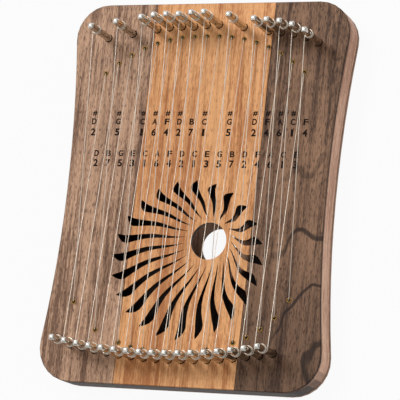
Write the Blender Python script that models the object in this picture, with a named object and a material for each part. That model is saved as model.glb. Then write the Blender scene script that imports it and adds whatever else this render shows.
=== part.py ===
"""Cross-strung box lyre with 31 steel strings and 31 tuning pins.

The body lies on its back: +Z points out of the face, +Y towards the upper edge and +X to the
right. The origin is the middle of the back face. Seventeen natural strings run from eyelets near
the upper edge down to the lower pins, and fourteen accidental strings run from eyelets near the
lower edge up to the upper pins, in the half lanes between them.
"""

import math

import bmesh
import bpy
from mathutils import Matrix, Vector

MM = 0.001

# Clearance between glued or resting faces
SEAT_GAP = 0.3 * MM

# Body outline: two concave side arcs that meet at the waist, and four round corners
BODY_LENGTH = 261.4 * MM
WAIST_WIDTH = 186.0 * MM
UPPER_SIDE_RADIUS = 940.0 * MM
LOWER_SIDE_RADIUS = 815.0 * MM
UPPER_CORNER_RADIUS = 22.5 * MM
LOWER_CORNER_RADIUS = 24.0 * MM
SIDE_STEPS = 6
CORNER_STEPS = 7

# Body layers
BODY_THICKNESS = 21.0 * MM
FRONT_THICKNESS = 2.5 * MM
BACK_THICKNESS = 3.0 * MM
RIM_THICKNESS = 6.0 * MM
BOARD_CHAMFER = 0.5 * MM
RIM_CHAMFER = 0.8 * MM

# Centre board of the face, and the slight lean of its two seams
CENTRE_BOARD_WIDTH = 86.1 * MM
CENTRE_BOARD_X = 1.25 * MM
SEAM_LEAN = math.radians(0.6)

# Sound hole through the face and the back
HOLE_X = 14.6 * MM
HOLE_Y = -33.1 * MM
HOLE_RADIUS = 12.5 * MM
HOLE_SIDES = 32

# Sun rosette: flame-shaped slots between a ring round the hole and a larger, lower circle
ROSETTE_X = 0.0
ROSETTE_Y = -46.0 * MM
ROSETTE_RADIUS = 54.2 * MM
ROSETTE_RING = 2.2 * MM
RAY_COUNT = 24
RAY_STEPS = 12
CENTRE_DRIFT = 0.82
RADIUS_DRIFT = 0.34
# One flame: distance outwards as a share, direction of its middle and its width in degrees
RAY_PROFILE = (
    (0.02, 18.7, 0.0),
    (0.14, 16.4, 2.9),
    (0.28, 13.3, 4.3),
    (0.42, 12.3, 5.3),
    (0.56, 13.6, 5.8),
    (0.68, 15.0, 6.7),
    (0.78, 15.7, 6.8),
    (0.86, 15.0, 4.9),
    (0.93, 13.8, 2.8),
    (1.00, 12.7, 0.0),
)

# Lanes of the strings
LANE_PITCH = 9.0 * MM
MIDDLE_LANE_X = -1.7 * MM
NATURAL_COUNT = 17

# Natural strings: the arches of their eyelets and of their pins, both round the middle lane,
# with the crests given from the nearest edge of the body
NATURAL_EYELET_INSET = 23.2 * MM
NATURAL_EYELET_DROP = 25.8 * MM
NATURAL_EYELET_POWER = 2.45
NATURAL_PIN_INSET = 18.0 * MM
NATURAL_PIN_RISE = 7.0 * MM

# Accidental strings: lane, eyelet from the lower edge and pin from the upper edge
ACCIDENTALS = (
    (-0.5, 53.8 * MM, 23.8 * MM),
    (1.5, 35.5 * MM, 20.9 * MM),
    (3.5, 27.7 * MM, 18.0 * MM),
    (4.5, 25.3 * MM, 16.6 * MM),
    (5.5, 23.8 * MM, 16.2 * MM),
    (6.5, 22.9 * MM, 16.4 * MM),
    (7.5, 22.5 * MM, 15.5 * MM),
    (8.5, 22.8 * MM, 15.1 * MM),
    (10.5, 25.5 * MM, 17.2 * MM),
    (12.5, 30.8 * MM, 20.2 * MM),
    (13.5, 34.7 * MM, 21.1 * MM),
    (14.5, 40.4 * MM, 22.2 * MM),
    (15.5, 48.2 * MM, 24.6 * MM),
    (16.5, 60.1 * MM, 28.5 * MM),
)
EYELET_HOLE_RADIUS = 1.3 * MM
EYELET_HOLE_SIDES = 6

# Tuning pins: a round shaft with a square tapered head
PIN_RADIUS = 2.5 * MM
PIN_SIDES = 8
PIN_HEIGHT = 30.5 * MM
PIN_DEPTH = 15.0 * MM
HEAD_LENGTH = 8.0 * MM
HEAD_WIDTH = 4.2 * MM
HEAD_TAPER = 0.86
HEAD_CORNER = 0.75 * MM
HEAD_EMBED = 1.0 * MM
PIN_HOLE_SIDES = 8

# Strings and their windings on the pins
STRING_RADIUS = 0.3 * MM
STRING_REST_HEIGHT = 0.75 * MM
STRING_BEND = 0.5 * MM
STRING_HIDDEN_DROP = 1.0 * MM
RUN_HEIGHT = 19.0 * MM
WINDING_TURNS = 2.25
WINDING_PITCH = 1.1 * MM
WINDING_POINTS = 8
LEAST_WINDING_GAP = 0.4 * MM

# Pin blocks: solid wood inside both ends, with a step that leaves room for the string ends
BLOCK_WIDTH = 34.0 * MM
STEP_FROM_EDGE = 21.0 * MM
STEP_DEPTH = 2.0 * MM

# Braces across the inside of the face and of the back
FRONT_BRACE_Y = 42.0 * MM
BACK_BRACE_Y = 62.0 * MM
BRACE_WIDTH = 8.0 * MM
BRACE_DEPTH = 5.0 * MM

# Places that follow from the outline and the layers
UPPER_EDGE = BODY_LENGTH / 2
FACE_Z = BODY_THICKNESS
FRONT_BOTTOM = FACE_Z - FRONT_THICKNESS
RIM_BOTTOM = BACK_THICKNESS + SEAT_GAP
RIM_TOP = FRONT_BOTTOM - SEAT_GAP
INNER_INSET = RIM_THICKNESS + SEAT_GAP
PIN_BOTTOM = FACE_Z - PIN_DEPTH
WINDING_RADIUS = (PIN_RADIUS + SEAT_GAP + STRING_RADIUS) / math.cos(math.pi / WINDING_POINTS)
CUT_MARGIN = 5.0 * MM

# Colour, roughness and metallic value of each material
FINISHES = {
    "walnut_left": ((0.235, 0.145, 0.100), 0.50, 0.0),
    "cherry": ((0.560, 0.280, 0.120), 0.48, 0.0),
    "walnut_right": ((0.165, 0.095, 0.065), 0.50, 0.0),
    "walnut_side": ((0.260, 0.150, 0.100), 0.52, 0.0),
    "walnut_back": ((0.200, 0.120, 0.080), 0.52, 0.0),
    "spruce": ((0.600, 0.430, 0.260), 0.60, 0.0),
    "maple": ((0.520, 0.370, 0.230), 0.55, 0.0),
    "nickel": ((0.620, 0.600, 0.570), 0.22, 1.0),
    "steel_wire": ((0.660, 0.640, 0.610), 0.30, 1.0),
}


def clear_scene():
    for item in list(bpy.data.objects):
        bpy.data.objects.remove(item, do_unlink=True)


def new_collection(name):
    collection = bpy.data.collections.new(name)
    bpy.context.scene.collection.children.link(collection)
    return collection


def make_material(name, slot):
    colour, roughness, metallic = FINISHES[slot]
    material = bpy.data.materials.new(name)
    material.use_nodes = True
    shader = material.node_tree.nodes["Principled BSDF"]
    shader.inputs["Base Color"].default_value = (*colour, 1.0)
    shader.inputs["Roughness"].default_value = roughness
    shader.inputs["Metallic"].default_value = metallic
    return material


def add_part(name, data, slot):
    part = bpy.data.objects.new(name, data)
    HARP.objects.link(part)
    if not data.materials:
        data.materials.append(make_material(name, slot))
    else:
        part.material_slots[0].link = "OBJECT"
        part.material_slots[0].material = make_material(name, slot)
    return part


def add_cutter(name, mesh):
    cutter = bpy.data.objects.new(name, mesh)
    cutter.hide_render = True
    cutter.display_type = "WIRE"
    CUTTERS.objects.link(cutter)
    return cutter


def cut(part, cutter, operation="DIFFERENCE"):
    modifier = part.modifiers.new(cutter.name, "BOOLEAN")
    modifier.operation = operation
    modifier.solver = "EXACT"
    modifier.object = cutter


def mesh_from_bmesh(name, shape):
    bmesh.ops.recalc_face_normals(shape, faces=shape.faces)
    mesh = bpy.data.meshes.new(name)
    shape.to_mesh(mesh)
    shape.free()
    return mesh


def arc(centre, radius, start, end, steps):
    """Points along an arc, ends included, angles in radians."""
    angles = [start + (end - start) * i / steps for i in range(steps + 1)]
    return [Vector((centre.x + radius * math.cos(a), centre.y + radius * math.sin(a))) for a in angles]


def right_half(inset, sign, side_radius, corner_radius):
    """Outline from the waist on the right to the middle of the upper (+1) or lower (-1) edge."""
    side_centre = Vector((WAIST_WIDTH / 2 + side_radius, 0.0))
    corner_y = BODY_LENGTH / 2 - corner_radius
    reach = side_radius + corner_radius
    corner_x = side_centre.x - math.sqrt(reach ** 2 - corner_y ** 2)
    lean = math.asin(corner_y / reach)
    side = arc(side_centre, side_radius + inset, math.pi, math.pi - lean, SIDE_STEPS)
    corner = arc(Vector((corner_x, corner_y)), corner_radius - inset, -lean, math.pi / 2, CORNER_STEPS)
    points = side + corner[1:]
    return [Vector((p.x, p.y * sign)) for p in points]


def outline(inset=0.0):
    """The whole body outline, counter-clockwise, moved inwards by inset."""
    upper = right_half(inset, 1, UPPER_SIDE_RADIUS, UPPER_CORNER_RADIUS)
    lower = right_half(inset, -1, LOWER_SIDE_RADIUS, LOWER_CORNER_RADIUS)
    right = lower[:0:-1] + upper
    left = [Vector((-p.x, p.y)) for p in reversed(right)]
    return right + left


def plate_mesh(name, points, bottom, top, chamfer=0.0):
    """A flat outline given its thickness and chamfered edges, as a closed mesh."""
    curve = bpy.data.curves.new(name, "CURVE")
    curve.dimensions = "2D"
    curve.fill_mode = "BOTH"
    curve.extrude = (top - bottom) / 2 - chamfer
    curve.bevel_depth = chamfer
    curve.bevel_resolution = 0
    spline = curve.splines.new("POLY")
    spline.points.add(len(points) - 1)
    for spot, point in zip(spline.points, points):
        spot.co = (point.x, point.y, 0.0, 1.0)
    spline.use_cyclic_u = True
    guide = bpy.data.objects.new(name, curve)
    CUTTERS.objects.link(guide)
    evaluated = guide.evaluated_get(bpy.context.evaluated_depsgraph_get())
    mesh = bpy.data.meshes.new_from_object(evaluated)
    shape = bmesh.new()
    shape.from_mesh(mesh)
    bmesh.ops.remove_doubles(shape, verts=shape.verts, dist=0.001 * MM)
    bmesh.ops.translate(shape, verts=shape.verts, vec=(0.0, 0.0, (top + bottom) / 2))
    bpy.data.objects.remove(guide, do_unlink=True)
    return mesh_from_bmesh(name, shape)


def cylinders_mesh(name, places, radius, sides, bottom, top):
    """One cutter mesh with an upright cylinder at each place."""
    shape = bmesh.new()
    middle = (top + bottom) / 2
    for x, y in places:
        bmesh.ops.create_cone(
            shape,
            cap_ends=True,
            segments=sides,
            radius1=radius,
            radius2=radius,
            depth=top - bottom,
            matrix=Matrix.Translation((x, y, middle)),
        )
    return mesh_from_bmesh(name, shape)


def box_mesh(name, low, high):
    shape = bmesh.new()
    size = Vector(high) - Vector(low)
    place = Matrix.Translation((Vector(high) + Vector(low)) / 2)
    bmesh.ops.create_cube(shape, size=1.0, matrix=place @ Matrix.Diagonal((*size, 1.0)))
    return mesh_from_bmesh(name, shape)


def lane_x(lane):
    return MIDDLE_LANE_X + (lane - (NATURAL_COUNT - 1) / 2) * LANE_PITCH


def natural_strings():
    """Eyelet and pin places of the natural strings, left to right."""
    strings = []
    half = (NATURAL_COUNT - 1) / 2
    for lane in range(NATURAL_COUNT):
        share = abs(lane - half) / half
        eyelet_y = UPPER_EDGE - NATURAL_EYELET_INSET - NATURAL_EYELET_DROP * share ** NATURAL_EYELET_POWER
        pin_y = -UPPER_EDGE + NATURAL_PIN_INSET + NATURAL_PIN_RISE * share ** 2
        x = lane_x(lane)
        strings.append(((x, eyelet_y), (x - WINDING_RADIUS, pin_y)))
    return strings


def accidental_strings():
    """Eyelet and pin places of the accidental strings, left to right."""
    strings = []
    for lane, eyelet_inset, pin_inset in ACCIDENTALS:
        x = lane_x(lane)
        eyelet_y = -UPPER_EDGE + eyelet_inset
        pin_y = UPPER_EDGE - pin_inset
        strings.append(((x, eyelet_y), (x + WINDING_RADIUS, pin_y)))
    return strings


def profile_value(share, column):
    """Smooth value of one column of the flame's profile, by cubic steps between its rows."""
    rows = RAY_PROFILE
    last = len(rows) - 2
    i = min(max(sum(1 for row in rows if row[0] <= share) - 1, 0), last)
    before, start, end, after = rows[max(i - 1, 0)], rows[i], rows[i + 1], rows[min(i + 2, last + 1)]
    span = end[0] - start[0]
    u = (share - start[0]) / span
    slope_in = (end[column] - before[column]) / (end[0] - before[0]) * span
    slope_out = (after[column] - start[column]) / (after[0] - start[0]) * span
    return (
        (2 * u ** 3 - 3 * u ** 2 + 1) * start[column]
        + (u ** 3 - 2 * u ** 2 + u) * slope_in
        + (3 * u ** 2 - 2 * u ** 3) * end[column]
        + (u ** 3 - u ** 2) * slope_out
    )


def rosette_point(share, degrees):
    """A point on one of the circles that grow and drift from the hole's ring to the rosette's rim."""
    hump = share * (1 - share)
    drift = share + CENTRE_DRIFT * hump
    inner_radius = HOLE_RADIUS + ROSETTE_RING
    radius = inner_radius + (ROSETTE_RADIUS - inner_radius) * (share + RADIUS_DRIFT * hump)
    x = HOLE_X + (ROSETTE_X - HOLE_X) * drift
    y = HOLE_Y + (ROSETTE_Y - HOLE_Y) * drift
    angle = math.radians(degrees)
    return Vector((x + radius * math.cos(angle), y + radius * math.sin(angle)))


def ray_outline(index):
    """The outline of one flame: up its left edge to the tip and back down its right edge."""
    turn = 360.0 / RAY_COUNT * index
    inner = RAY_PROFILE[0][0]
    outer = RAY_PROFILE[-1][0]
    left, right = [], []
    for step in range(1, RAY_STEPS):
        share = inner + (outer - inner) * step / RAY_STEPS
        middle = profile_value(share, 1) + turn
        half_width = profile_value(share, 2) / 2
        left.append(rosette_point(share, middle + half_width))
        right.append(rosette_point(share, middle - half_width))
    start = rosette_point(inner, RAY_PROFILE[0][1] + turn)
    tip = rosette_point(outer, RAY_PROFILE[-1][1] + turn)
    return [start] + right + [tip] + left[::-1]


def ray_cutter_mesh():
    """All flames as upright prisms, taller than the face is thick."""
    shape = bmesh.new()
    for index in range(RAY_COUNT):
        points = ray_outline(index)
        bottom = [shape.verts.new((p.x, p.y, FRONT_BOTTOM - CUT_MARGIN)) for p in points]
        base = shape.faces.new(bottom)
        grown = bmesh.ops.extrude_face_region(shape, geom=[base])
        top = [item for item in grown["geom"] if isinstance(item, bmesh.types.BMVert)]
        bmesh.ops.translate(shape, verts=top, vec=(0.0, 0.0, FRONT_THICKNESS + 2 * CUT_MARGIN))
    return mesh_from_bmesh("ray_cutter", shape)


def seam_slab(name, left, right):
    """A slab between two leaning seams, for cutting one board out of the face."""
    low = (left, -BODY_LENGTH, FRONT_BOTTOM - CUT_MARGIN)
    high = (right, BODY_LENGTH, FACE_Z + CUT_MARGIN)
    slab = add_cutter(name, box_mesh(name, low, high))
    slab.rotation_euler.z = -SEAM_LEAN
    return slab


def build_front(cutters):
    """Three boards side by side, each cut from the same chamfered outline."""
    left_seam = CENTRE_BOARD_X - CENTRE_BOARD_WIDTH / 2
    right_seam = CENTRE_BOARD_X + CENTRE_BOARD_WIDTH / 2
    far = WAIST_WIDTH
    boards = (
        ("front_board_left", "walnut_left", -far, left_seam - SEAT_GAP / 2),
        ("front_board_centre", "cherry", left_seam + SEAT_GAP / 2, right_seam - SEAT_GAP / 2),
        ("front_board_right", "walnut_right", right_seam + SEAT_GAP / 2, far),
    )
    for name, slot, left, right in boards:
        mesh = plate_mesh(name, outline(BOARD_CHAMFER), FRONT_BOTTOM, FACE_Z, BOARD_CHAMFER)
        board = add_part(name, mesh, slot)
        cut(board, seam_slab(name + "_slab", left, right), "INTERSECT")
        for cutter in cutters:
            cut(board, cutter)


def build_back(hole_cutter):
    mesh = plate_mesh("back_board", outline(BOARD_CHAMFER), 0.0, BACK_THICKNESS, BOARD_CHAMFER)
    cut(add_part("back_board", mesh, "walnut_back"), hole_cutter)


def rim_half_points():
    """The right half of the rim: out along the body's outline and back along its inside."""
    outer = [p for p in outline(RIM_CHAMFER) if p.x > 0.0]
    inner = [p for p in outline(RIM_THICKNESS - RIM_CHAMFER) if p.x > 0.0]
    joint = SEAT_GAP / 2 + RIM_CHAMFER
    ends = [Vector((joint, outer[-1].y)), Vector((joint, inner[-1].y))]
    starts = [Vector((joint, inner[0].y)), Vector((joint, outer[0].y))]
    return outer + ends + inner[::-1] + starts


def build_rim():
    """Two bent sides that meet at the middle of the upper and of the lower edge."""
    right = rim_half_points()
    left = [Vector((-p.x, p.y)) for p in reversed(right)]
    for name, points in (("rim_left", left), ("rim_right", right)):
        add_part(name, plate_mesh(name, points, RIM_BOTTOM, RIM_TOP, RIM_CHAMFER), "walnut_side")


def block_points(sign):
    """A block's plan: the rim's inside at one end of the body, closed by a straight inner edge."""
    edge = BODY_LENGTH / 2 - INNER_INSET - BLOCK_WIDTH
    outside = [p for p in outline(INNER_INSET) if p.y * sign > edge]
    if sign > 0:
        return outside
    middle = next(i for i, p in enumerate(outside) if p.x > 0.0)
    return outside[middle:] + outside[:middle]


def build_blocks(pin_cutter):
    """Solid blocks that hold the pins, stepped on the side of the eyelets."""
    for name, sign in (("pin_block_top", 1), ("pin_block_bottom", -1)):
        block = add_part(name, plate_mesh(name, block_points(sign), RIM_BOTTOM, RIM_TOP), "maple")
        step_y = (BODY_LENGTH / 2 - STEP_FROM_EDGE) * sign
        y_low, y_high = sorted((step_y, 0.0))
        low = (-WAIST_WIDTH, y_low, RIM_TOP - STEP_DEPTH)
        high = (WAIST_WIDTH, y_high, RIM_TOP + CUT_MARGIN)
        cut(block, add_cutter(name + "_step", box_mesh(name + "_step", low, high)))
        cut(block, pin_cutter)


def inner_half_width(y):
    """Half the width inside the rim at a height between the waist and the upper corner."""
    sagitta = UPPER_SIDE_RADIUS - math.sqrt(UPPER_SIDE_RADIUS ** 2 - y ** 2)
    return WAIST_WIDTH / 2 + sagitta - INNER_INSET


def build_braces():
    """A strip glued under the face above the rosette, and one on the back above the hole."""
    braces = (
        ("front_brace", FRONT_BRACE_Y, RIM_TOP - BRACE_DEPTH, RIM_TOP),
        ("back_brace", BACK_BRACE_Y, RIM_BOTTOM, RIM_BOTTOM + BRACE_DEPTH),
    )
    for name, y, bottom, top in braces:
        half = inner_half_width(y - BRACE_WIDTH / 2)
        low = (-half, y - BRACE_WIDTH / 2, bottom)
        high = (half, y + BRACE_WIDTH / 2, top)
        add_part(name, box_mesh(name, low, high), "spruce")


def pin_mesh():
    """A round shaft with a square tapered head, standing on its lower end at the origin."""
    shaft_length = PIN_DEPTH + PIN_HEIGHT - HEAD_LENGTH
    shaft = add_cutter(
        "pin_shaft", cylinders_mesh("pin_shaft", [(0.0, 0.0)], PIN_RADIUS, PIN_SIDES, 0.0, shaft_length)
    )
    half = HEAD_WIDTH / 2
    low = (-half, -half, shaft_length - HEAD_EMBED)
    high = (half, half, shaft_length + HEAD_LENGTH)
    head_mesh = box_mesh("pin_head", low, high)
    shape = bmesh.new()
    shape.from_mesh(head_mesh)
    for vertex in shape.verts:
        if vertex.co.z > shaft_length:
            vertex.co.x *= HEAD_TAPER
            vertex.co.y *= HEAD_TAPER
    outer_edges = [edge for edge in shape.edges if max(v.co.z for v in edge.verts) > shaft_length]
    bmesh.ops.bevel(shape, geom=outer_edges, offset=HEAD_CORNER, segments=1, affect="EDGES")
    head = add_cutter("pin_head", mesh_from_bmesh("pin_head", shape))
    cut(shaft, head, "UNION")
    bpy.context.view_layer.update()
    evaluated = shaft.evaluated_get(bpy.context.evaluated_depsgraph_get())
    mesh = bpy.data.meshes.new_from_object(evaluated)
    mesh.name = "tuning_pin"
    bpy.data.objects.remove(shaft, do_unlink=True)
    bpy.data.objects.remove(head, do_unlink=True)
    return mesh


def build_pins(naturals, accidentals):
    """One pin for each string, each with its origin on its own axis."""
    mesh = pin_mesh()
    rows = (("pin_lower", naturals), ("pin_upper", accidentals))
    for prefix, strings in rows:
        for number, (_, pin) in enumerate(strings, 1):
            part = add_part(f"{prefix}_{number:02d}", mesh, "nickel")
            part.location = (pin[0], pin[1], PIN_BOTTOM)


def string_path(eyelet, pin):
    """From under the face, up through the eyelet, along to the pin and round it."""
    forward = math.copysign(1.0, pin[1] - eyelet[1])
    side = math.copysign(1.0, eyelet[0] - pin[0])
    points = [
        Vector((*eyelet, FRONT_BOTTOM - STRING_HIDDEN_DROP)),
        Vector((*eyelet, FACE_Z + STRING_REST_HEIGHT - STRING_BEND)),
        Vector((eyelet[0], eyelet[1] + forward * STRING_BEND, FACE_Z + STRING_REST_HEIGHT)),
    ]
    steps = round(WINDING_TURNS * WINDING_POINTS)
    for step in range(steps + 1):
        turn = step / WINDING_POINTS
        angle = -2 * math.pi * turn
        points.append(
            Vector((
                pin[0] + side * WINDING_RADIUS * math.cos(angle),
                pin[1] + side * WINDING_RADIUS * math.sin(angle),
                FACE_Z + RUN_HEIGHT + WINDING_PITCH * turn,
            ))
        )
    last, before = points[-1], points[-2]
    points.append(last + (last - before).normalized() * 2 * STRING_RADIUS)
    return points


def least_gap(points):
    """The least clear distance between turns of one string, measured between its points."""
    travelled = [0.0]
    for a, b in zip(points, points[1:]):
        travelled.append(travelled[-1] + (b - a).length)
    half_turn = math.pi * WINDING_RADIUS
    gaps = [
        (points[j] - points[i]).length - 2 * STRING_RADIUS
        for i in range(len(points))
        for j in range(i + 1, len(points))
        if travelled[j] - travelled[i] > half_turn
    ]
    return min(gaps)


def string_curve(name, points):
    curve = bpy.data.curves.new(name, "CURVE")
    curve.dimensions = "3D"
    curve.bevel_depth = STRING_RADIUS
    curve.bevel_resolution = 0
    curve.use_fill_caps = True
    spline = curve.splines.new("POLY")
    spline.points.add(len(points) - 1)
    for spot, point in zip(spline.points, points):
        spot.co = (*point, 1.0)
    return curve


def build_strings(naturals, accidentals):
    """Neighbouring strings share one wire that passes from eyelet to eyelet under the face."""
    rows = (("string_natural", naturals), ("string_accidental", accidentals))
    gaps = []
    for prefix, strings in rows:
        paths = [string_path(eyelet, pin) for eyelet, pin in strings]
        gaps += [least_gap(path) for path in paths]
        for first in range(0, len(paths), 2):
            pair = paths[first:first + 2]
            numbers = "_".join(f"{first + i + 1:02d}" for i in range(len(pair)))
            points = pair[0] if len(pair) == 1 else pair[0][::-1] + pair[1]
            name = f"{prefix}_{numbers}"
            add_part(name, string_curve(name, points), "steel_wire")
    print(f"least gap of a winding to itself: {min(gaps) / MM:.2f} mm")
    if min(gaps) < LEAST_WINDING_GAP:
        print("the windings are too tight")


def build_harp():
    naturals = natural_strings()
    accidentals = accidental_strings()
    eyelets = [eyelet for eyelet, _ in naturals + accidentals]
    pins = [pin for _, pin in naturals + accidentals]
    above = FACE_Z + CUT_MARGIN
    below = FRONT_BOTTOM - CUT_MARGIN
    hole_cutter = add_cutter(
        "hole_cutter",
        cylinders_mesh("hole_cutter", [(HOLE_X, HOLE_Y)], HOLE_RADIUS, HOLE_SIDES, -CUT_MARGIN, above),
    )
    eyelet_cutter = add_cutter(
        "eyelet_cutter",
        cylinders_mesh("eyelet_cutter", eyelets, EYELET_HOLE_RADIUS, EYELET_HOLE_SIDES, below, above),
    )
    pin_hole_radius = (PIN_RADIUS + SEAT_GAP) / math.cos(math.pi / PIN_HOLE_SIDES)
    pin_cutter = add_cutter(
        "pin_cutter",
        cylinders_mesh(
            "pin_cutter", pins, pin_hole_radius, PIN_HOLE_SIDES, PIN_BOTTOM - SEAT_GAP, above
        ),
    )
    ray_cutter = add_cutter("ray_cutter", ray_cutter_mesh())
    build_front((hole_cutter, ray_cutter, eyelet_cutter, pin_cutter))
    build_back(hole_cutter)
    build_rim()
    build_blocks(pin_cutter)
    build_braces()
    build_pins(naturals, accidentals)
    build_strings(naturals, accidentals)


clear_scene()
HARP = new_collection("lyre_harp")
CUTTERS = new_collection("cutters")
build_harp()
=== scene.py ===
"""Looks of the lyre harp: its woods, tuning pins, strings, eyelets and note names."""

import math

import bmesh
import bpy
from mathutils import Matrix, Vector


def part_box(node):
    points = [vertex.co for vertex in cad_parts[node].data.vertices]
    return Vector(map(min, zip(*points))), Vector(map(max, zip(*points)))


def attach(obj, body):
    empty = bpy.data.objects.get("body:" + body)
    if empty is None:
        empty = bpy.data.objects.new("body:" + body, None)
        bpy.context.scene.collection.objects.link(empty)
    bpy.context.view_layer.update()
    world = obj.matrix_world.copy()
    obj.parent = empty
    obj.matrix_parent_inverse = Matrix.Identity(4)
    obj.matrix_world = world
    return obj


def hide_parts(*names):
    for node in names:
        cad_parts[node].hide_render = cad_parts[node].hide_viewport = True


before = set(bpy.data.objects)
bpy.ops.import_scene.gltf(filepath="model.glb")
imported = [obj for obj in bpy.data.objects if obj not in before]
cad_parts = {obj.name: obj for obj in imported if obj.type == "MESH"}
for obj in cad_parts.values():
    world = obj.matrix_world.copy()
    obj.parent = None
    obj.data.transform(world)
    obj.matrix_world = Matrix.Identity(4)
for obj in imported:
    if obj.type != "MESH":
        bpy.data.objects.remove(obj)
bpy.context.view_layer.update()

MM = 0.001

# Places read from the frame
FACE_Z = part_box("front_board_centre")[1][2]
BACK_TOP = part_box("back_board")[1][2]

# Lanes and eyelets, as on the CAD strings
LANE_PITCH = 9.0 * MM
MIDDLE_LANE_X = -1.7 * MM
MIDDLE_LANE = 8
NATURAL_EYELET_CREST = 107.5 * MM
NATURAL_EYELET_DROP = 25.8 * MM
NATURAL_EYELET_POWER = 2.45
NATURAL_NOTES = "D2 B7 G5 E3 C1 A6 F4 D2 C1 E3 G5 B7 D2 F4 A6 C1 E3".split()
# Accidental strings: lane, the eyelet's place up the face, and note name
ACCIDENTALS = (
    (-0.5, -76.9 * MM, "#D2"),
    (1.5, -95.2 * MM, "#G5"),
    (3.5, -103.0 * MM, "#C1"),
    (4.5, -105.4 * MM, "#A6"),
    (5.5, -106.9 * MM, "#F4"),
    (6.5, -107.8 * MM, "#D2"),
    (7.5, -108.2 * MM, " B7"),
    (8.5, -107.9 * MM, "#C1"),
    (10.5, -105.2 * MM, "#G5"),
    (12.5, -99.9 * MM, "#D2"),
    (13.5, -96.0 * MM, "#F4"),
    (14.5, -90.3 * MM, "#A6"),
    (15.5, -82.5 * MM, "#C1"),
    (16.5, -70.6 * MM, " F4"),
)
# Eyelet: radius and height in millimetres, once round the section of the ring
EYELET_PROFILE = (
    (1.00, -2.2), (1.00, 0.20), (1.12, 0.42), (1.36, 0.52), (1.62, 0.44),
    (1.80, 0.22), (1.80, 0.03), (1.08, 0.03), (1.08, -2.2),
)
EYELET_SEGMENTS = 24

# Note names: each row's place up the face, with the height of its characters
SHARP_HEIGHT, LETTER_HEIGHT, DIGIT_HEIGHT = 3.6 * MM, 4.2 * MM, 5.0 * MM
ACCIDENTAL_ROWS = ((53.7 * MM, SHARP_HEIGHT), (48.0 * MM, LETTER_HEIGHT), (40.6 * MM, DIGIT_HEIGHT))
NATURAL_ROWS = ((25.8 * MM, LETTER_HEIGHT), (19.1 * MM, DIGIT_HEIGHT))
NAME_SHIFT = -0.2 * MM
NAME_WIDTH = 3.3 * MM
NARROW_WIDTH = 1.7 * MM
INK_HEIGHT = 0.05 * MM
GLYPH_WEIGHT = 0.03
GLYPH_DEPTH = 0.5
MERGE_DISTANCE = 0.001 * MM

# Pins: a round shaft, a short neck, and a tapered square head with a domed end
SHAFT_RADIUS = 2.5 * MM
SHAFT_FOOT = 4.0 * MM
NECK_LENGTH = 0.5 * MM
NECK_TAPER = 0.96
HEAD_LENGTH = 8.0 * MM
HEAD_RADIUS = 2.15 * MM
HEAD_TAPER = 0.90
SHOULDER_LENGTH = 1.2 * MM
DOME_HEIGHT = 1.4 * MM
DOME_STEPS = 6
PIN_SEGMENTS = 32
# Exponents of a section's outline: a circle, and the head's rounded square
ROUND = 2.0
HEAD_SQUARENESS = 4.5
SHARP_ANGLE = math.radians(40)

# Strings: the bend over the eyelet, the run to the pin and the winding, which
# closes on the shaft in the first 1 / WINDING_CLOSING of a turn
STRING_RADIUS = 0.25 * MM
STRING_BEVEL = 2
STRING_FOOT = 2.0 * MM
STRING_REST = 0.9 * MM
BEND_RISE = 0.3 * MM
BEND_REACH = 0.5 * MM
RUN_HEIGHT = 18.6 * MM
WINDING_TURNS = 3.0
WINDING_PITCH = 0.85 * MM
WINDING_POINTS = 24
WINDING_GAP = 0.02 * MM
WINDING_CLOSING = 3.0
STRINGS_PER_NODE = 2

# Wood grain: layers of noise, each drawn out along Y, and the ranges that colour them
STREAKS = {"scale": 260.0, "y_scale": 0.035, "detail": 5.0, "distortion": 0.6}
FIBRES = {"scale": 1500.0, "y_scale": 0.03, "detail": 3.0}
PORES = {"scale": 1900.0, "y_scale": 0.13, "detail": 2.0}
CLOUDS = {"scale": 30.0, "y_scale": 0.5, "detail": 2.0}
MOTTLE = {"scale": 700.0, "y_scale": 0.22, "detail": 4.0, "distortion": 1.0}
FIBRE_SHARE = 0.38
MOTTLE_SHARE = 0.28
CLOUD_STRENGTH = 0.06
CLOUD_RANGE = (0.3, 0.7)
TONE_RANGE = (0.38, 0.60)
PORE_RANGE = (0.56, 0.68)
PORE_DEPTH = 0.8
GRAIN_HEIGHT = 0.12 * MM

# Veins on the right board: warped rings, and where on the face they show
VEIN_RINGS = {"Scale": 13.0, "Distortion": 7.0, "Detail": 3.0, "Detail Scale": 1.4}
VEIN_SCALE = (1.0, 0.55, 1.0)
VEIN_SHIFT = (-105.0 * MM, 66.0 * MM, 0.0)
VEIN_RANGE = (0.965, 0.999)
VEIN_ACROSS = (52.0 * MM, 75.0 * MM)
VEIN_DOWN = (45.0 * MM, -20.0 * MM)
VEIN_FAINTEST = 0.15
VEIN_STRENGTH = 0.85

# Stain and painted-shade masks: the places, or the slopes of the surface, between which each fades in; the
# lower side wall and the inside of the body take painted shade, and the upright faces take dark edges and
# painted shade in the slots and the sound hole
HEARTWOOD_DOWN = (-10.0 * MM, -110.0 * MM)
HEARTWOOD_STRENGTH = 0.45
UPRIGHT_RANGE = (0.85, 0.5)
LOWER_SHADE_RANGE = (-0.15, -0.95)
INSIDE_SHADE_DEPTH = 0.2 * MM
HOLE_CENTRE = (14.6 * MM, -33.1 * MM)
RING_RADIUS = 26.0 * MM
RING_FADE = 4.0 * MM

# Handling marks on the metal, and uneven patches in the ink
MARK_RANGE = (0.3, 0.7)
MARK_GLOSS = 0.3
MARK_HEIGHT = 0.01 * MM
MARK_STRENGTH = 0.3
INK_PATCHES = {"scale": 900.0, "y_scale": 0.6}
INK_RANGE = (0.35, 0.7)

# Studio: the floor, and how bright the world is as light and as seen
FLOOR_REACH = 6.0
FLOOR_DROP = 0.1 * MM
FLOOR_GREY = (0.5, 0.5, 0.5, 1.0)
FLOOR_GLOW = 0.94
WHITE = (1.0, 1.0, 1.0, 1.0)
WORLD_LIGHT = 0.46
WORLD_SEEN = 1.0
CARD_REACH = 0.5

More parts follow.
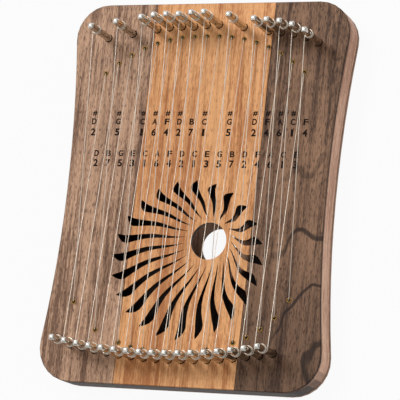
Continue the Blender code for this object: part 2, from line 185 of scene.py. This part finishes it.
# Camera, at the photograph's angle: its place, and its right, up and back directions
CAMERA_PLACE = (0.5688, -0.3034, 1.3415)
CAMERA_RIGHT = (0.9231, 0.1022, -0.3708)
CAMERA_UP = (-0.0167, 0.9738, 0.2268)
CAMERA_BACK = (0.3842, -0.2031, 0.9006)
CAMERA_LENS = 199.5
CAMERA_SENSOR = 36.0


def colour(red, green, blue):
    """A display colour from 0 to 255 as linear light, with full alpha."""
    def linear(value):
        share = value / 255
        return share / 12.92 if share <= 0.04045 else ((share + 0.055) / 1.055) ** 2.4
    return (linear(red), linear(green), linear(blue), 1.0)


def set_inputs(node, values):
    """Sets a node's unlinked inputs by name."""
    for name, value in values.items():
        node.inputs[name].default_value = value


class Shader:
    """A material's node tree, with one short call for each kind of node."""

    def __init__(self, name):
        self.material = bpy.data.materials.new(name)
        self.material.use_nodes = True
        self.tree = self.material.node_tree
        self.surface = self.tree.nodes["Principled BSDF"]

    def node(self, kind, **settings):
        """A new node with these settings."""
        made = self.tree.nodes.new(kind)
        for key, value in settings.items():
            setattr(made, key, value)
        return made

    def link(self, source, target):
        """Joins an output to an input."""
        self.tree.links.new(source, target)

    def split(self, vector):
        """The X, Y and Z of a vector, as sockets."""
        made = self.node("ShaderNodeSeparateXYZ")
        self.link(vector, made.inputs["Vector"])
        return made.outputs

    def place(self):
        """Where the point is on the object, in metres."""
        return self.split(self.node("ShaderNodeTexCoord").outputs["Object"])

    def facing(self):
        """The direction that the surface faces."""
        return self.split(self.node("ShaderNodeNewGeometry").outputs["Normal"])

    def coordinates(self, scale, shift=(0.0, 0.0, 0.0)):
        """The place on the object, scaled and then shifted, for a texture."""
        mapping = self.node("ShaderNodeMapping")
        set_inputs(mapping, {"Scale": scale, "Location": shift})
        self.link(self.node("ShaderNodeTexCoord").outputs["Object"], mapping.inputs["Vector"])
        return mapping.outputs["Vector"]

    def noise(self, scale, y_scale, detail=4.0, distortion=0.0):
        """Noise that runs long along Y where y_scale is small."""
        texture = self.node("ShaderNodeTexNoise")
        set_inputs(texture, {"Scale": scale, "Detail": detail, "Distortion": distortion})
        self.link(self.coordinates((1.0, y_scale, 1.0)), texture.inputs["Vector"])
        return texture.outputs["Fac"]

    def spread(self, value, low, high, out_low=0.0, out_high=1.0):
        """Eases from out_low, where the value is low, to out_high, where it is high."""
        ranged = self.node("ShaderNodeMapRange", interpolation_type="SMOOTHSTEP")
        self.link(value, ranged.inputs["Value"])
        set_inputs(ranged, {"From Min": low, "From Max": high, "To Min": out_low, "To Max": out_high})
        return ranged.outputs["Result"]

    def math(self, operation, first, second=0.0):
        """One operation on sockets or plain numbers."""
        made = self.node("ShaderNodeMath", operation=operation)
        for socket, value in zip(made.inputs, (first, second)):
            if isinstance(value, float):
                socket.default_value = value
            else:
                self.link(value, socket)
        return made.outputs["Value"]

    def average(self, first, second, share):
        """A weighted average, where share is the weight of the second value."""
        return self.math(
            "ADD",
            self.math("MULTIPLY", first, 1.0 - share),
            self.math("MULTIPLY", second, share),
        )

    def mix(self, share, first, second):
        """The first colour where share is zero, and the second where it is one."""
        made = self.node("ShaderNodeMix", data_type="RGBA")
        self.link(share, made.inputs["Factor"])
        sockets = [s for s in made.inputs if s.type == "RGBA"]
        for socket, value in zip(sockets, (first, second)):
            if isinstance(value, tuple):
                socket.default_value = value
            else:
                self.link(value, socket)
        return next(s for s in made.outputs if s.type == "RGBA")

    def bump(self, height, distance, strength=0.5):
        """Raises the surface by a height from zero to one, times the distance."""
        made = self.node("ShaderNodeBump")
        set_inputs(made, {"Strength": strength, "Distance": distance})
        self.link(height, made.inputs["Height"])
        self.link(made.outputs["Normal"], self.surface.inputs["Normal"])


def wood(name, light, dark, pore, fleck, stains_and_shade=(), roughness=0.5):
    """Straight-grained wood along Y, with pores as strong as fleck, then layers of stain and of painted
    shade, each by mask and colour.
    """
    shader = Shader(name)
    fibres = shader.noise(**FIBRES)
    clouds = shader.spread(shader.noise(**CLOUDS), *CLOUD_RANGE, out_low=-1.0)
    grain = shader.average(shader.noise(**STREAKS), fibres, FIBRE_SHARE)
    grain = shader.math("ADD", grain, shader.math("MULTIPLY", clouds, CLOUD_STRENGTH))
    grain = shader.average(grain, shader.noise(**MOTTLE), MOTTLE_SHARE)
    tone = shader.mix(shader.spread(grain, *TONE_RANGE), dark, light)
    flecks = shader.math("MULTIPLY", shader.spread(shader.noise(**PORES), *PORE_RANGE), fleck)
    tone = shader.mix(flecks, tone, pore)
    # layers of real stain and of painted shade, each a mask and its colour
    for mask, layer_colour in stains_and_shade:
        tone = shader.mix(mask(shader), tone, layer_colour)
    shader.link(tone, shader.surface.inputs["Base Color"])
    set_inputs(shader.surface, {"Roughness": roughness, "Specular IOR Level": 0.12})
    sunk = shader.math("MULTIPLY", flecks, PORE_DEPTH)
    shader.bump(shader.math("SUBTRACT", fibres, sunk), GRAIN_HEIGHT)
    return shader.material


def heartwood_mask(shader):
    """Grows towards the lower end of the right board, where its heartwood is darkest."""
    down = shader.spread(shader.place()["Y"], *HEARTWOOD_DOWN)
    return shader.math("MULTIPLY", down, HEARTWOOD_STRENGTH)


def vein_mask(shader):
    """Dark figure of curved veins in the lower right of the face."""
    texture = shader.node("ShaderNodeTexWave", wave_type="RINGS", rings_direction="Z")
    set_inputs(texture, VEIN_RINGS)
    shader.link(shader.coordinates(VEIN_SCALE, VEIN_SHIFT), texture.inputs["Vector"])
    lines = shader.spread(texture.outputs["Fac"], *VEIN_RANGE)
    place = shader.place()
    across = shader.spread(place["X"], *VEIN_ACROSS)
    down = shader.spread(place["Y"], *VEIN_DOWN, out_low=VEIN_FAINTEST)
    share = shader.math("MULTIPLY", shader.math("MULTIPLY", lines, across), down)
    return shader.math("MULTIPLY", share, VEIN_STRENGTH)


def edge_and_slot_shade_mask(shader):
    """One on the faces that stand upright, such as a board's edge or a slot's wall; the colour it takes is
    partly the boards' dark edges and partly painted shade on the walls of the slots and the sound hole.
    """
    level = shader.math("ABSOLUTE", shader.facing()["Z"])
    return shader.spread(level, *UPRIGHT_RANGE)


def lower_shade_mask(shader):
    """Painted shade: one on the side wall along the lower edge, which faces away from the light and is
    darkened as its shade.
    """
    return shader.spread(shader.facing()["Y"], *LOWER_SHADE_RANGE)


def inside_shade_mask(shader):
    """Painted shade: one on the inner face of the back, apart from the pale ring round the sound hole,
    darkened to stand in for the shade inside the body.
    """
    place = shader.place()
    inner = shader.math("GREATER_THAN", place["Z"], BACK_TOP - INSIDE_SHADE_DEPTH)
    dx = shader.math("SUBTRACT", place["X"], HOLE_CENTRE[0])
    dy = shader.math("SUBTRACT", place["Y"], HOLE_CENTRE[1])
    square = shader.math("ADD", shader.math("MULTIPLY", dx, dx), shader.math("MULTIPLY", dy, dy))
    distance = shader.math("SQRT", square)
    beyond = shader.spread(distance, RING_RADIUS - RING_FADE, RING_RADIUS)
    return shader.math("MULTIPLY", inner, beyond)


def metal(name, tint, roughness, grain):
    """Bright metal with fine handling marks in its gloss."""
    shader = Shader(name)
    set_inputs(shader.surface, {"Base Color": tint, "Metallic": 1.0})
    marks = shader.noise(scale=grain, y_scale=1.0)
    gloss = shader.spread(
        marks, *MARK_RANGE, out_low=roughness * (1.0 - MARK_GLOSS), out_high=roughness * (1.0 + MARK_GLOSS),
    )
    shader.link(gloss, shader.surface.inputs["Roughness"])
    shader.bump(marks, MARK_HEIGHT, MARK_STRENGTH)
    return shader.material


def ink(name):
    """Black burnt-in lettering, a little uneven."""
    shader = Shader(name)
    patches = shader.spread(shader.noise(**INK_PATCHES), *INK_RANGE)
    tone = shader.mix(patches, colour(14, 9, 7), colour(34, 22, 16))
    shader.link(tone, shader.surface.inputs["Base Color"])
    set_inputs(shader.surface, {"Roughness": 0.8, "Specular IOR Level": 0.1})
    return shader.material


def dress(node, material):
    """Gives a carried-over CAD node its finished material."""
    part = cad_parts[node]
    if not part.material_slots:
        part.data.materials.append(material)
    part.material_slots[0].link = "OBJECT"
    part.material_slots[0].material = material


def dress_woods():
    """Dresses the boards, the rim and the unseen wood inside."""
    # dark board edges, and painted shade on the walls of the slots and the sound hole
    edge = colour(40, 25, 18)
    vein = colour(34, 21, 15)
    left = wood(
        "walnut_left",
        light=colour(198, 158, 129), dark=colour(112, 82, 64), pore=colour(54, 37, 29), fleck=0.85,
        stains_and_shade=((edge_and_slot_shade_mask, edge),),
    )
    centre = wood(
        "cherry",
        light=colour(232, 172, 118), dark=colour(178, 114, 68), pore=colour(132, 76, 42), fleck=0.5,
        stains_and_shade=((edge_and_slot_shade_mask, edge),),
    )
    right = wood(
        "walnut_right",
        light=colour(148, 113, 88), dark=colour(72, 50, 38), pore=colour(34, 22, 17), fleck=0.85,
        stains_and_shade=((heartwood_mask, vein), (vein_mask, vein), (edge_and_slot_shade_mask, edge)),
    )
    side = wood(
        "walnut_side",
        light=colour(228, 184, 156), dark=colour(172, 126, 102), pore=colour(118, 82, 64), fleck=0.5,
        # near-black painted shade on the downward-facing side wall
        stains_and_shade=((lower_shade_mask, colour(34, 19, 13)),),
    )
    back = wood(
        "walnut_back",
        light=colour(170, 132, 108), dark=colour(128, 92, 72), pore=colour(72, 50, 40), fleck=0.6,
        # near-black painted shade inside the body, on the back's inner face
        stains_and_shade=((inside_shade_mask, colour(26, 12, 9)),),
    )
    inner = wood(
        "raw_wood",
        light=colour(150, 118, 88), dark=colour(120, 90, 64), pore=colour(90, 64, 46), fleck=0.3,
        roughness=0.7,
    )
    dress("front_board_left", left)
    dress("front_board_centre", centre)
    dress("front_board_right", right)
    dress("back_board", back)
    for node in ("rim_left", "rim_right"):
        dress(node, side)
    for node in ("pin_block_top", "pin_block_bottom", "front_brace", "back_brace"):
        dress(node, inner)


def add_object(name, data):
    """A new object, linked to the scene."""
    made = bpy.data.objects.new(name, data)
    bpy.context.scene.collection.objects.link(made)
    return made


def add_piece(name, data, material):
    """A new visible piece in its material, with the slot that its finish comes from."""
    piece = add_object(name, data)
    if not data.materials:
        data.materials.append(material)
    return piece


def lane_x(lane):
    """The X of a lane; the accidental strings lie on half lanes."""
    return MIDDLE_LANE_X + (lane - MIDDLE_LANE) * LANE_PITCH


def natural_eyelets():
    """The natural strings' eyelets, on a curve with its crest at the middle lane."""
    places = []
    for lane in range(len(NATURAL_NOTES)):
        share = abs(lane - MIDDLE_LANE) / MIDDLE_LANE
        y = NATURAL_EYELET_CREST - NATURAL_EYELET_DROP * share ** NATURAL_EYELET_POWER
        places.append(Vector((lane_x(lane), y, FACE_Z)))
    return places


def accidental_eyelets():
    """The accidental strings' eyelets."""
    return [Vector((lane_x(lane), y, FACE_Z)) for lane, y, _ in ACCIDENTALS]


def pin_axis(node):
    """The point where a pin's axis meets the face."""
    low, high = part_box(node)
    return Vector(((low[0] + high[0]) / 2, (low[1] + high[1]) / 2, FACE_Z))


def plain_mesh(name, shape):
    """Turns a finished bmesh into a mesh."""
    mesh = bpy.data.meshes.new(name)
    shape.to_mesh(mesh)
    shape.free()
    return mesh


def smooth_mesh(name, shape):
    """Turns a finished bmesh into a smooth mesh that keeps its sharp edges."""
    bmesh.ops.recalc_face_normals(shape, faces=shape.faces)
    mesh = plain_mesh(name, shape)
    mesh.shade_smooth()
    mesh.set_sharp_from_angle(angle=SHARP_ANGLE)
    return mesh


def square_mesh(name, reach):
    """A flat square that reaches this far each way from its middle."""
    shape = bmesh.new()
    bmesh.ops.create_grid(shape, x_segments=1, y_segments=1, size=reach)
    return plain_mesh(name, shape)


def bridge(shape, loop, following):
    """Joins two closed loops of vertices with quads."""
    for i in range(len(loop)):
        j = (i + 1) % len(loop)
        shape.faces.new((loop[i], loop[j], following[j], following[i]))


def section(radius, squareness, height):
    """One ring of a pin: a circle at squareness 2, a rounded square above it."""
    points = []
    for step in range(PIN_SEGMENTS):
        angle = 2 * math.pi * step / PIN_SEGMENTS
        c, s = math.cos(angle), math.sin(angle)
        reach = radius / (abs(c) ** squareness + abs(s) ** squareness) ** (1 / squareness)
        points.append((reach * c, reach * s, height))
    return points


def pin_mesh(height):
    """A round shaft lofted into a tapered square head with a domed end."""
    neck = height - HEAD_LENGTH
    top_radius = HEAD_RADIUS * HEAD_TAPER
    rings = [
        section(SHAFT_RADIUS, ROUND, -SHAFT_FOOT),
        section(SHAFT_RADIUS, ROUND, neck - NECK_LENGTH),
        section(SHAFT_RADIUS * NECK_TAPER, ROUND, neck),
        section(HEAD_RADIUS, HEAD_SQUARENESS, neck + SHOULDER_LENGTH),
        section(top_radius, HEAD_SQUARENESS, height - DOME_HEIGHT),
    ]
    for step in range(1, DOME_STEPS):
        share = step / DOME_STEPS
        turn = math.pi / 2 * share
        rings.append(section(
            top_radius * math.cos(turn),
            HEAD_SQUARENESS + (ROUND - HEAD_SQUARENESS) * share,
            height - DOME_HEIGHT * (1 - math.sin(turn)),
        ))
    shape = bmesh.new()
    loops = [[shape.verts.new(point) for point in ring] for ring in rings]
    for lower, upper in zip(loops, loops[1:]):
        bridge(shape, lower, upper)
    shape.faces.new(loops[0][::-1])
    shape.faces.new(loops[-1])
    return smooth_mesh("tuning_pin", shape)


def eyelet_mesh():
    """A turned brass ring with a rolled rim on the face and a short tube in its hole."""
    shape = bmesh.new()
    loops = []
    for step in range(EYELET_SEGMENTS):
        angle = 2 * math.pi * step / EYELET_SEGMENTS
        c, s = math.cos(angle), math.sin(angle)
        loops.append([shape.verts.new((r * MM * c, r * MM * s, z * MM)) for r, z in EYELET_PROFILE])
    for here, after in zip(loops, loops[1:] + loops[:1]):
        bridge(shape, here, after)
    return smooth_mesh("eyelet", shape)


def string_points(eyelet, axis):
    """Up through the eyelet, straight to the pin and round it for all its turns."""
    forward = math.copysign(1.0, axis.y - eyelet.y)
    side = math.copysign(1.0, eyelet.x - axis.x)
    radius = abs(eyelet.x - axis.x)
    snug = SHAFT_RADIUS + STRING_RADIUS + WINDING_GAP
    points = [
        eyelet + Vector((0.0, 0.0, -STRING_FOOT)),
        eyelet + Vector((0.0, 0.0, STRING_REST - BEND_RISE)),
        eyelet + Vector((0.0, forward * BEND_REACH, STRING_REST)),
    ]
    steps = round(WINDING_TURNS * WINDING_POINTS)
    for step in range(steps + 1):
        turn = step / WINDING_POINTS
        reach = snug + (radius - snug) * max(0.0, 1.0 - WINDING_CLOSING * turn)
        angle = -2 * math.pi * turn
        points.append(axis + Vector((
            side * reach * math.cos(angle),
            side * reach * math.sin(angle),
            RUN_HEIGHT + WINDING_PITCH * turn,
        )))
    return points


def string_curve(name, paths):
    """Round wires along these paths, as one curve."""
    curve = bpy.data.curves.new(name, "CURVE")
    curve.dimensions = "3D"
    curve.bevel_depth = STRING_RADIUS
    curve.bevel_resolution = STRING_BEVEL
    curve.use_fill_caps = True
    for points in paths:
        spline = curve.splines.new("POLY")
        spline.points.add(len(points) - 1)
        for spot, point in zip(spline.points, points):
            spot.co = (*point, 1.0)
    return curve


def add_pins(nickel):
    """A turned pin for each plain one, on the same body."""
    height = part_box("pin_lower_01")[1][2] - FACE_Z
    mesh = pin_mesh(height)
    for node in sorted(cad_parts):
        if node.startswith(("pin_lower_", "pin_upper_")):
            piece = add_piece(node + "_turned", mesh, nickel)
            piece.location = pin_axis(node)
            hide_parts(node)
            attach(piece, node + "_body")


def add_strings(steel):
    """The wires, each piece with the same strings as the node that it replaces."""
    rows = (
        ("natural", "pin_lower", natural_eyelets()),
        ("accidental", "pin_upper", accidental_eyelets()),
    )
    for row, pins, eyelets in rows:
        paths = []
        for number, eyelet in enumerate(eyelets, 1):
            paths.append(string_points(eyelet, pin_axis(f"{pins}_{number:02d}")))
        for first in range(0, len(paths), STRINGS_PER_NODE):
            group = paths[first:first + STRINGS_PER_NODE]
            node = f"string_{row}_" + "_".join(f"{first + i + 1:02d}" for i in range(len(group)))
            piece = add_piece(node + "_wire", string_curve(node, group), steel)
            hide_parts(node)
            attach(piece, "root")


def add_eyelets(brass):
    """An eyelet where each string leaves the face."""
    mesh = eyelet_mesh()
    for number, place in enumerate(natural_eyelets() + accidental_eyelets(), 1):
        piece = add_piece(f"eyelet_{number:02d}", mesh, brass)
        piece.location = place
        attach(piece, "root")


def glyph_mesh(character):
    """A character of the built-in typeface as a thin solid, one unit each way, about its middle."""
    curve = bpy.data.curves.new("glyph", "FONT")
    curve.body = character
    curve.offset = GLYPH_WEIGHT
    curve.extrude = GLYPH_DEPTH
    guide = add_object("glyph", curve)
    bpy.context.view_layer.update()
    solid = guide.evaluated_get(bpy.context.evaluated_depsgraph_get())
    mesh = bpy.data.meshes.new_from_object(solid)
    bpy.data.objects.remove(guide, do_unlink=True)
    low = Vector([min(v.co[i] for v in mesh.vertices) for i in range(3)])
    high = Vector([max(v.co[i] for v in mesh.vertices) for i in range(3)])
    size = high - low
    mesh.transform(Matrix.Translation(-(low + high) / 2))
    mesh.transform(Matrix.Diagonal((1 / size.x, 1 / size.y, 1 / size.z, 1.0)))
    return mesh


def add_names(black):
    """Note names under the strings: a sharp sign, a letter and a number in a column."""
    names = [(lane, name, ACCIDENTAL_ROWS) for lane, _, name in ACCIDENTALS]
    names += [(lane, name, NATURAL_ROWS) for lane, name in enumerate(NATURAL_NOTES)]
    glyphs = {}
    shape = bmesh.new()
    for lane, name, rows in names:
        for character, (y, height) in zip(name, rows):
            if character == " ":
                continue
            if character not in glyphs:
                glyphs[character] = glyph_mesh(character)
            width = NARROW_WIDTH if character == "1" else NAME_WIDTH
            placed = glyphs[character].copy()
            placed.transform(Matrix.Diagonal((width, height, INK_HEIGHT, 1.0)))
            placed.transform(Matrix.Translation((lane_x(lane) + NAME_SHIFT, y, FACE_Z + INK_HEIGHT)))
            shape.from_mesh(placed)
            bpy.data.meshes.remove(placed)
    bmesh.ops.remove_doubles(shape, verts=shape.verts, dist=MERGE_DISTANCE)
    piece = add_piece("note_names", plain_mesh("note_names", shape), black)
    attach(piece, "root")


def seen_share(tree):
    """One for rays that come from the camera, a reflection or a clear surface."""
    path = tree.nodes.new("ShaderNodeLightPath")
    total = path.outputs["Is Camera Ray"]
    for name in ("Is Glossy Ray", "Is Transmission Ray"):
        larger = tree.nodes.new("ShaderNodeMath")
        larger.operation = "MAXIMUM"
        tree.links.new(total, larger.inputs[0])
        tree.links.new(path.outputs[name], larger.inputs[1])
        total = larger.outputs["Value"]
    return total


def add_floor():
    """A grey floor that takes the harp's shadow and looks nearly white where it is seen."""
    floor = add_object("floor", square_mesh("floor", FLOOR_REACH))
    floor.location.z = -FLOOR_DROP
    shader = Shader("floor")
    shader.tree.nodes.remove(shader.surface)
    diffuse = shader.node("ShaderNodeBsdfDiffuse")
    set_inputs(diffuse, {"Color": FLOOR_GREY})
    glow = shader.node("ShaderNodeEmission")
    blend = shader.node("ShaderNodeMixShader")
    shader.link(shader.math("MULTIPLY", seen_share(shader.tree), FLOOR_GLOW), blend.inputs["Fac"])
    shader.link(diffuse.outputs["BSDF"], blend.inputs[1])
    shader.link(glow.outputs["Emission"], blend.inputs[2])
    shader.link(blend.outputs["Shader"], shader.tree.nodes["Material Output"].inputs["Surface"])
    floor.data.materials.append(shader.material)


def add_world():
    """Even light from all round, from a world that looks white where it is seen."""
    world = bpy.data.worlds.new("studio")
    world.use_nodes = True
    bpy.context.scene.world = world
    tree = world.node_tree
    background = tree.nodes["Background"]
    set_inputs(background, {"Color": WHITE})
    level = tree.nodes.new("ShaderNodeMapRange")
    set_inputs(level, {"To Min": WORLD_LIGHT, "To Max": WORLD_SEEN})
    tree.links.new(seen_share(tree), level.inputs["Value"])
    tree.links.new(level.outputs["Result"], background.inputs["Strength"])


def add_sun(name, energy, degrees, direction):
    """A soft sun, this wide in degrees, that shines from this direction."""
    lamp = bpy.data.lights.new(name, "SUN")
    lamp.energy = energy
    lamp.angle = math.radians(degrees)
    sun = add_object(name, lamp)
    sun.rotation_euler = Vector(direction).to_track_quat("Z", "Y").to_euler()


def add_card(name, place, size, turn):
    """A dark studio card beside the harp, seen only in the metal's reflections."""
    card = add_object(name, square_mesh(name, CARD_REACH))
    card.location = place
    card.rotation_euler = turn
    card.scale = (*size, 1.0)
    shader = Shader(name)
    set_inputs(shader.surface, {"Base Color": colour(24, 22, 20)})
    card.data.materials.append(shader.material)
    card.visible_camera = False
    card.visible_diffuse = False
    card.visible_shadow = False
    card.visible_transmission = False


def add_camera():
    """The camera, from its place and the directions of its axes."""
    data = bpy.data.cameras.new("camera")
    data.lens = CAMERA_LENS
    data.sensor_width = CAMERA_SENSOR
    camera = add_object("camera", data)
    turn = Matrix((CAMERA_RIGHT, CAMERA_UP, CAMERA_BACK)).transposed().to_4x4()
    camera.matrix_world = Matrix.Translation(CAMERA_PLACE) @ turn
    bpy.context.scene.camera = camera


bpy.context.scene.view_settings.view_transform = "Standard"
add_camera()
add_world()
add_sun("key", energy=1.75, degrees=22, direction=(-0.55, 0.45, 1.0))
add_sun("fill", energy=0.9, degrees=40, direction=(1.0, 0.35, 0.25))
add_floor()
add_card("card_right", place=(1.2, 0.2, 0.5), size=(1.0, 2.4), turn=(0.0, math.pi / 2, 0.0))
add_card("card_front", place=(0.0, -1.2, 0.4), size=(2.4, 0.8), turn=(math.pi / 2, 0.0, 0.0))
dress_woods()
add_pins(metal("nickel", tint=colour(206, 202, 194), roughness=0.08, grain=2500.0))
add_strings(metal("steel_wire", tint=colour(206, 194, 180), roughness=0.50, grain=300.0))
add_eyelets(metal("brass", tint=colour(168, 132, 76), roughness=0.25, grain=2500.0))
add_names(ink("burnt_ink"))
